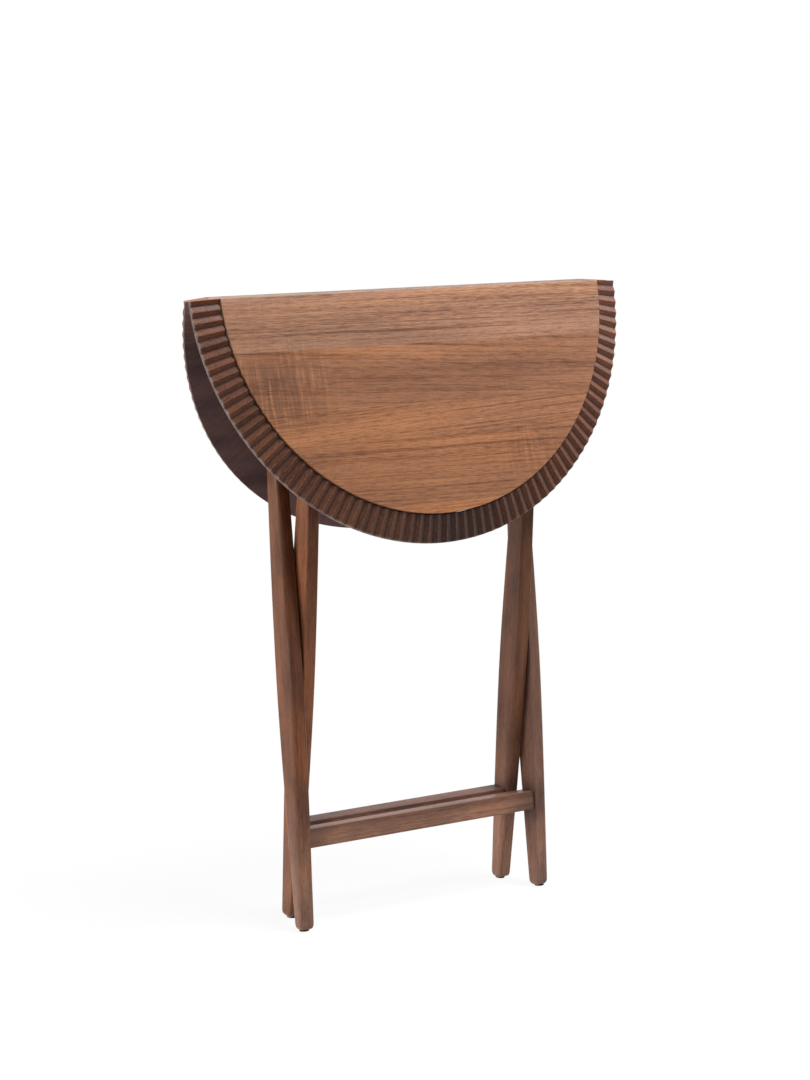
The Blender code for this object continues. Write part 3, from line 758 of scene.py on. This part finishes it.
def piece(name, bm, material, body, nodes=(), sharp=SHARP_ANGLE):
    """Turns a bmesh in the table's frame into a piece that rides on a body in place of its CAD nodes."""
    mesh = bpy.data.meshes.new(name)
    bm.to_mesh(mesh)
    bm.free()
    mesh.shade_smooth()
    mesh.set_sharp_from_angle(angle=radians(sharp))
    mesh.materials.append(material)
    item = bpy.data.objects.new(name, mesh)
    bpy.context.scene.collection.objects.link(item)
    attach(item, body)
    if nodes:
        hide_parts(*nodes)
    return item


def dressed(node, material):
    """A CAD node's own shape with its triangles merged, smooth between its edges, in a better finish."""
    source = NODES[node]
    bm = bmesh.new()
    bm.from_mesh(source.data)
    bmesh.ops.remove_doubles(bm, verts=list(bm.verts), dist=MERGE_DISTANCE)
    bmesh.ops.dissolve_limit(bm, angle_limit=radians(FLAT_ANGLE), verts=list(bm.verts),
                             edges=list(bm.edges))
    item = piece(node + "_dressed", bm, material, source["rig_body"], [node])
    # the wide faces stay flat in the light and only the rounded edges turn
    even = item.modifiers.new("Flat faces", "WEIGHTED_NORMAL")
    even.keep_sharp = True


def cut_at_hinge(bm, level):
    """Takes away what lies on the other leaf's side of the hinge line."""
    bmesh.ops.bisect_plane(bm, geom=list(bm.verts) + list(bm.edges) + list(bm.faces), dist=CUT_DISTANCE,
                           plane_co=(0, level, 0), plane_no=(0, 1, 0), clear_inner=True)


def half_disc(settings):
    """The panel: a half disc with its top edge rounded."""
    low, high = LEAF_BOX
    bm = bmesh.new()
    bmesh.ops.create_circle(bm, cap_ends=True, segments=DISC_SIDES_PER_FLUTE * settings.flutes,
                            radius=settings.panel_radius, matrix=Matrix.Translation((0, 0, low.z)))
    cut_at_hinge(bm, low.y)
    top = bmesh.ops.extrude_face_region(bm, geom=list(bm.faces), use_keep_orig=True)["geom"]
    bmesh.ops.translate(bm, vec=(0, 0, high.z - low.z), verts=of_type(top, bmesh.types.BMVert))
    bmesh.ops.recalc_face_normals(bm, faces=list(bm.faces))
    rim = [edge for edge in bm.edges if all(vert.co.z > high.z - MERGE_DISTANCE for vert in edge.verts)]
    bmesh.ops.bevel(bm, geom=rim, offset=settings.panel_arris, segments=PANEL_ARRIS_STEPS, profile=0.5,
                    affect="EDGES", material=-1)
    return bm


def border_profile(settings):
    """Radius and level of each corner of the border's section on a crest."""
    low, high = BORDER_BOX
    inside, outside = settings.panel_radius + settings.joint_gap, settings.top_radius
    rim, arris, chamfer = low.z + settings.rim_thickness, settings.rim_arris, settings.joint_arris
    slope = (high.z - rim) / (outside - inside)
    shoulder = rim + slope * arris
    return ((inside, low.z),
            (inside, high.z - chamfer),
            (inside + JOINT_TURN * chamfer, high.z - JOINT_TURN * slope * chamfer),
            (inside + 0.5 * (outside - inside), rim + 0.5 * (high.z - rim)),
            (outside - arris, shoulder),
            (outside - RIM_TURN * arris, shoulder - RIM_SHOULDER * arris),
            (outside, rim - RIM_FALL * arris),
            (outside, low.z + arris),
            (outside - RIM_TURN * arris, low.z + RIM_TURN * arris),
            (outside - arris, low.z))


def fluted_ring(settings):
    """The border: its profile spun half round, its slope cut in radial V flutes with eased crests."""
    low = BORDER_BOX[0]
    pitch = pi / settings.flutes
    ease = settings.flute_easing
    # shares of the pitch and of the depth at the turns of one flute, from crest to crest
    places = (0.0, ease / 2, 0.25, 0.5 - ease / 2, 0.5, 0.5 + ease / 2, 0.75, 1.0 - ease / 2)
    drops = (EASING_DROP * ease, ease, 0.5, 1.0 - ease, 1.0 - EASING_DROP * ease, 1.0 - ease, 0.5, ease)
    parts = len(places)
    # one flute more at each end, which the cut at the hinge line takes away
    spun = settings.flutes + 2
    bm = bmesh.new()
    verts = [bm.verts.new((radius, 0, level)) for radius, level in border_profile(settings)]
    loop = [bm.edges.new((verts[k - 1], verts[k])) for k in range(len(verts))]
    bmesh.ops.rotate(bm, verts=verts, cent=(0, 0, 0), matrix=Matrix.Rotation(-pitch, 3, "Z"))
    bmesh.ops.spin(bm, geom=verts + loop, axis=(0, 0, 1), cent=(0, 0, 0), steps=parts * spun,
                   angle=pitch * spun)
    foot = low.z + FLUTE_FOOT * settings.rim_arris
    for vert in bm.verts:
        turn = atan2(vert.co.y, vert.co.x)
        # angles past half a turn run on
        if turn < -pi / 2:
            turn += 2 * pi
        flute, part = divmod(round(turn * parts / pitch), parts)
        radius = vert.co.to_2d().length
        turn = (flute + places[part]) * pitch
        vert.co.x, vert.co.y = radius * cos(turn), radius * sin(turn)
        if vert.co.z > foot:
            vert.co.z -= settings.flute_depth * drops[part]
    cut_at_hinge(bm, low.y)
    bmesh.ops.edgeloop_fill(bm, edges=[edge for edge in bm.edges if edge.is_boundary])
    bmesh.ops.recalc_face_normals(bm, faces=list(bm.faces))
    return bm


def add_screw(bm, axes, at, radius, height, turn):
    """A countersunk head with a slot, its flat side on the XY plane at the point, standing towards -Z."""
    before = set(bm.verts)
    made = bmesh.ops.create_circle(bm, cap_ends=True, segments=SCREW_SIDES, radius=radius)
    faces = list({face for vert in made["verts"] for face in vert.link_faces})
    top = bmesh.ops.extrude_face_region(bm, geom=faces, use_keep_orig=True)["geom"]
    cap = of_type(top, bmesh.types.BMFace)
    ring = of_type(top, bmesh.types.BMVert)
    bmesh.ops.translate(bm, vec=(0, 0, height), verts=ring)
    bmesh.ops.scale(bm, vec=(SCREW_TAPER, SCREW_TAPER, 1.0), verts=ring)
    half_slot = SLOT_HALF_WIDTH * radius
    for way in (-1, 1):
        edges = [edge for face in cap for edge in face.edges]
        corners = [vert for face in cap for vert in face.verts]
        cut = bmesh.ops.bisect_plane(bm, geom=list(dict.fromkeys(cap + edges + corners)), dist=CUT_DISTANCE,
                                     plane_co=(0, way * half_slot, 0), plane_no=(0, 1, 0))
        cap = of_type(cut["geom"], bmesh.types.BMFace)
    slot = [face for face in cap if abs(face.calc_center_median().y) < half_slot]
    down = bmesh.ops.extrude_face_region(bm, geom=slot)["geom"]
    bmesh.ops.translate(bm, vec=(0, 0, -SLOT_DEPTH * height), verts=of_type(down, bmesh.types.BMVert))
    new = [vert for vert in bm.verts if vert not in before]
    place = axes @ Matrix.Translation(at) @ Matrix.Rotation(pi, 4, "X") @ Matrix.Rotation(turn, 4, "Z")
    bmesh.ops.transform(bm, verts=new, space=Matrix.Identity(4), matrix=place)


def set_leaf(leaf, name, bm, material, part, sharp=SHARP_ANGLE):
    """Sets a mesh made in a leaf's own axes in place of a part of that leaf."""
    bmesh.ops.transform(bm, matrix=leaf_axes(leaf), space=Matrix.Identity(4), verts=list(bm.verts))
    piece(leaf + name, bm, material, leaf + "_leaf", [f"{leaf}_leaf_{part}"], sharp)


# Operators

class TABLE_OT_panels(bpy.types.Operator):
    """Builds the two half-round panels of edge-glued walnut boards"""
    bl_idname = "folding_table.panels"
    bl_label = "Leaf Panels"

    def execute(self, context):
        settings = context.scene.folding_table.leaf
        for leaf in LEAVES:
            set_leaf(leaf, "_panel_boards", half_disc(settings), panel_walnut(leaf, settings), "panel")
        return {"FINISHED"}


class TABLE_OT_borders(bpy.types.Operator):
    """Builds the two bevelled half rings with their radial flutes"""
    bl_idname = "folding_table.borders"
    bl_label = "Fluted Borders"

    def execute(self, context):
        settings = context.scene.folding_table.leaf
        for leaf in LEAVES:
            set_leaf(leaf, "_border_fluted", fluted_ring(settings), border_walnut(leaf, settings), "border",
                     FLUTE_SHARP_ANGLE)
        return {"FINISHED"}


class TABLE_OT_frames(bpy.types.Operator):
    """Dresses the legs and stretchers of the two crossed frames"""
    bl_idname = "folding_table.frames"
    bl_label = "Leg Frames"

    def execute(self, context):
        settings = context.scene.folding_table.frame
        for pair in FRAMES:
            dressed(pair + "_stretcher", rail_walnut(pair, (*settings.stretcher_wood,)))
            for hand in HANDS:
                name = f"{pair}_{hand}_leg"
                dressed(name, leg_walnut(name, pair, (*settings.leg_wood,)))
        return {"FINISHED"}


class TABLE_OT_pivots(bpy.types.Operator):
    """Dresses the bearer blocks, the pivot pins and their bushes"""
    bl_idname = "folding_table.pivots"
    bl_label = "Blocks and Pivots"

    def execute(self, context):
        table = context.scene.folding_table
        steel = metal("pin_steel_drawn", table.hardware.steel, PIN_ROUGHNESS)
        bronze = metal("bush_bronze_turned", table.hardware.bronze, BUSH_ROUGHNESS)
        for leaf in LEAVES:
            along, down, out = leaf_axes(leaf).to_3x3().col
            block = block_walnut(leaf, columns(down, along, out, RIDGE), (*table.frame.block_wood,))
            for hand in HANDS:
                dressed(f"{leaf}_{hand}_block", block)
                dressed(f"{leaf}_{hand}_leaf_pin", steel)
        for hand in HANDS:
            for pair in FRAMES:
                dressed(f"{pair}_{hand}_top_bush", bronze)
            dressed(hand + "_centre_bush", bronze)
            dressed(hand + "_centre_pin", steel)
            dressed(hand + "_centre_pin_seat", steel)
        return {"FINISHED"}


# Hinge screws: in from the plate's edge, the middle one more so; to the sides by a share of its length
HINGE_SCREW_INSET = 0.0065
HINGE_SCREW_SETBACK = 0.0022
HINGE_SCREW_SPREAD = 0.34
# Block screws: from the block's middle by a share of its length
BLOCK_SCREW_SPREAD = 0.22
# Turns of the slots: the first, the step to the next plate or block, and to the next screw
HINGE_SLOT_TURNS = (0.0, 0.9, 1.7)
BLOCK_SLOT_TURNS = (0.6, 1.3, 0.8)


def slot_turn(turns, index, k):
    """Each screw's slot has stopped at another angle."""
    first, next_group, next_screw = turns
    return first + next_group * index + next_screw * k


class TABLE_OT_hinges(bpy.types.Operator):
    """Dresses the hinge plates and pins and sets the plates' and blocks' screws"""
    bl_idname = "folding_table.hinges"
    bl_label = "Hinges and Screws"

    def execute(self, context):
        settings = context.scene.folding_table.hardware
        brass = metal("hinge_brass_satin", settings.brass, HINGE_ROUGHNESS)
        steel = metal("screw_steel", settings.steel, SCREW_ROUGHNESS, PRESSED)
        for place in HINGES:
            dressed(place + "_hinge_pin", brass)
            for leaf in LEAVES:
                dressed(f"{leaf}_{place}_hinge_plate", brass)
        for leaf in LEAVES:
            axes = leaf_axes(leaf)
            screws = bmesh.new()
            for index, place in enumerate(HINGES):
                low, high = box_in(axes, f"{leaf}_{place}_hinge_plate")
                for k in (-1, 0, 1):
                    at = Vector(((low.x + high.x) / 2 + HINGE_SCREW_SPREAD * k * (high.x - low.x),
                                 high.y - HINGE_SCREW_INSET - HINGE_SCREW_SETBACK * (k == 0),
                                 high.z - settings.hinge_plate))
                    add_screw(screws, axes, at, settings.hinge_screw_radius, settings.screw_height,
                              slot_turn(HINGE_SLOT_TURNS, index, k))
            piece(leaf + "_hinge_screws", screws, brass, leaf + "_leaf")
            screws = bmesh.new()
            for index, hand in enumerate(HANDS):
                low, high = box_in(axes, f"{leaf}_{hand}_block")
                for k in (-1, 1):
                    at = Vector(((low.x + high.x) / 2,
                                 (low.y + high.y) / 2 + BLOCK_SCREW_SPREAD * k * (high.y - low.y), low.z))
                    add_screw(screws, axes, at, settings.block_screw_radius, settings.screw_height,
                              slot_turn(BLOCK_SLOT_TURNS, index, k))
            piece(leaf + "_block_screws", screws, steel, leaf + "_leaf")
        return {"FINISHED"}


class TABLE_OT_glides(bpy.types.Operator):
    """Dresses the glides under the feet"""
    bl_idname = "folding_table.glides"
    bl_label = "Glides"

    def execute(self, context):
        material = rubber("glide_rubber_moulded", context.scene.folding_table.hardware.rubber)
        for pair in FRAMES:
            for hand in HANDS:
                dressed(f"{pair}_{hand}_glide", material)
        return {"FINISHED"}


# Stage

# Lamps: place, point aimed at, width and height
LAMPS = {
    "key": ((0.75, -1.35, 3.9), (0, 0, 0.45), 1.9, 1.9),
    "fill": ((-2.1, 0.6, 0.45), (0, 0, 0.2), 1.0, 0.8),
    "back": ((-0.5, 2.7, 2.2), (0, 0, 0.45), 1.8, 1.8),
    "side": ((2.2, -0.1, 1.65), (0, 0, 0.6), 0.8, 0.7),
}
# Half the floor's width
FLOOR_REACH = 30.0
# Two distances and the floor's levels there for rays that carry light, and its level as seen
FLOOR_BOUNCE = (0.22, 0.68, 0.74, 0.18)
FLOOR_SEEN = 0.86
# Distances between which the floor that is seen turns to plain white
FLOOR_PLAIN = (0.35, 1.1)
# Camera: width of its frame in millimetres, and the nearest and farthest that it sees
SENSOR_WIDTH = 36.0
CLIP = (0.01, 200.0)


def seen_white(nodes):
    """1 for a ray from the camera or a mirror, 0 for a ray that carries light."""
    rays = nodes.node("ShaderNodeLightPath").outputs
    seen = nodes.maths("MAXIMUM", rays["Is Camera Ray"], rays["Is Glossy Ray"])
    return nodes.maths("MAXIMUM", seen, rays["Is Transmission Ray"])


def floor_material(settings):
    """White studio floor that keeps the table's shadow."""
    material = bpy.data.materials.new("studio_floor")
    material.use_nodes = True
    nodes = Nodes(material.node_tree)
    nodes.tree.nodes.clear()
    away = nodes.vector("LENGTH", nodes.node("ShaderNodeTexCoord").outputs["Object"])
    seen = seen_white(nodes)
    level = nodes.spread(seen, 0.0, 1.0, nodes.spread(away, *FLOOR_BOUNCE), FLOOR_SEEN, soft=False)
    matt = nodes.node("ShaderNodeBsdfDiffuse", level)
    white = nodes.node("ShaderNodeEmission")
    share = nodes.maths("MULTIPLY", seen, nodes.spread(away, *FLOOR_PLAIN, settings.floor_white, 1.0))
    both = nodes.node("ShaderNodeMixShader", share, matt.outputs[0], white.outputs[0])
    nodes.node("ShaderNodeOutputMaterial", both.outputs[0])
    return material


def lay_floor(scene, settings):
    """A wide plane at the feet's level."""
    bm = bmesh.new()
    bmesh.ops.create_grid(bm, x_segments=1, y_segments=1, size=FLOOR_REACH)
    mesh = bpy.data.meshes.new("studio_floor")
    bm.to_mesh(mesh)
    bm.free()
    mesh.materials.append(floor_material(settings))
    floor = bpy.data.objects.new("studio_floor", mesh)
    scene.collection.objects.link(floor)


def light_room(scene, settings):
    """A white room that lights the table a little, and four lamps."""
    world = bpy.data.worlds.new("white_room")
    world.use_nodes = True
    nodes = Nodes(world.node_tree)
    background = nodes.tree.nodes["Background"]
    background.inputs["Color"].default_value = (1, 1, 1, 1)
    level = nodes.spread(seen_white(nodes), 0.0, 1.0, settings.room_light, 1.0, soft=False)
    nodes.put(background.inputs["Strength"], level)
    scene.world = world
    for name, (place, aim, width, height) in LAMPS.items():
        data = bpy.data.lights.new(name + "_lamp", "AREA")
        data.shape = "RECTANGLE"
        data.size, data.size_y = width, height
        data.energy = getattr(settings, name + "_power")
        item = bpy.data.objects.new(name + "_lamp", data)
        item.location = place
        item.rotation_euler = (Vector(place) - Vector(aim)).to_track_quat("Z", "Y").to_euler()
        scene.collection.objects.link(item)


def set_camera(scene, settings):
    """The camera at its distance from the target, turned about its line of sight."""
    turn, rise = settings.azimuth, settings.elevation
    back = Vector((sin(turn) * cos(rise), -cos(turn) * cos(rise), sin(rise)))
    right = Vector((cos(turn), sin(turn), 0))
    rolled_right = right * cos(settings.roll) + back.cross(right) * sin(settings.roll)
    data = bpy.data.cameras.new("camera")
    data.sensor_width, data.lens = SENSOR_WIDTH, settings.lens
    data.clip_start, data.clip_end = CLIP
    camera = bpy.data.objects.new("camera", data)
    camera.matrix_world = columns(rolled_right, back.cross(rolled_right), back,
                                  Vector(settings.target) + back * settings.distance)
    scene.collection.objects.link(camera)
    scene.camera = camera


class TABLE_OT_stage(bpy.types.Operator):
    """Lays the floor, lights the room and sets the camera"""
    bl_idname = "folding_table.stage"
    bl_label = "Stage"

    def execute(self, context):
        settings = context.scene.folding_table.stage
        lay_floor(context.scene, settings)
        light_room(context.scene, settings)
        set_camera(context.scene, settings)
        context.scene.view_settings.view_transform = "Standard"
        return {"FINISHED"}


class TABLE_PT_panel(bpy.types.Panel):
    """Settings and operators of the folding table"""
    bl_idname = "TABLE_PT_panel"
    bl_label = "Round Folding Table"
    bl_space_type = "VIEW_3D"
    bl_region_type = "UI"
    bl_category = "Folding Table"

    def draw(self, context):
        table = context.scene.folding_table
        for label, group in (("Leaves", table.leaf), ("Frames", table.frame), ("Hardware", table.hardware),
                             ("Stage", table.stage)):
            box = self.layout.box()
            box.label(text=label)
            for name in group.__annotations__:
                box.prop(group, name)
        for operator in OPERATORS:
            self.layout.operator(operator.bl_idname)


GROUPS = (LeafSettings, FrameSettings, HardwareSettings, StageSettings, TableSettings)
OPERATORS = (TABLE_OT_panels, TABLE_OT_borders, TABLE_OT_frames, TABLE_OT_pivots, TABLE_OT_hinges,
             TABLE_OT_glides, TABLE_OT_stage)


def register():
    for item in GROUPS + OPERATORS + (TABLE_PT_panel,):
        bpy.utils.register_class(item)
    bpy.types.Scene.folding_table = PointerProperty(type=TableSettings)


def unregister():
    del bpy.types.Scene.folding_table
    for item in reversed(GROUPS + OPERATORS + (TABLE_PT_panel,)):
        bpy.utils.unregister_class(item)


def main():
    register()
    bpy.ops.folding_table.panels()
    bpy.ops.folding_table.borders()
    bpy.ops.folding_table.frames()
    bpy.ops.folding_table.pivots()
    bpy.ops.folding_table.hinges()
    bpy.ops.folding_table.glides()
    bpy.ops.folding_table.stage()


if __name__ == "__main__":
    main()
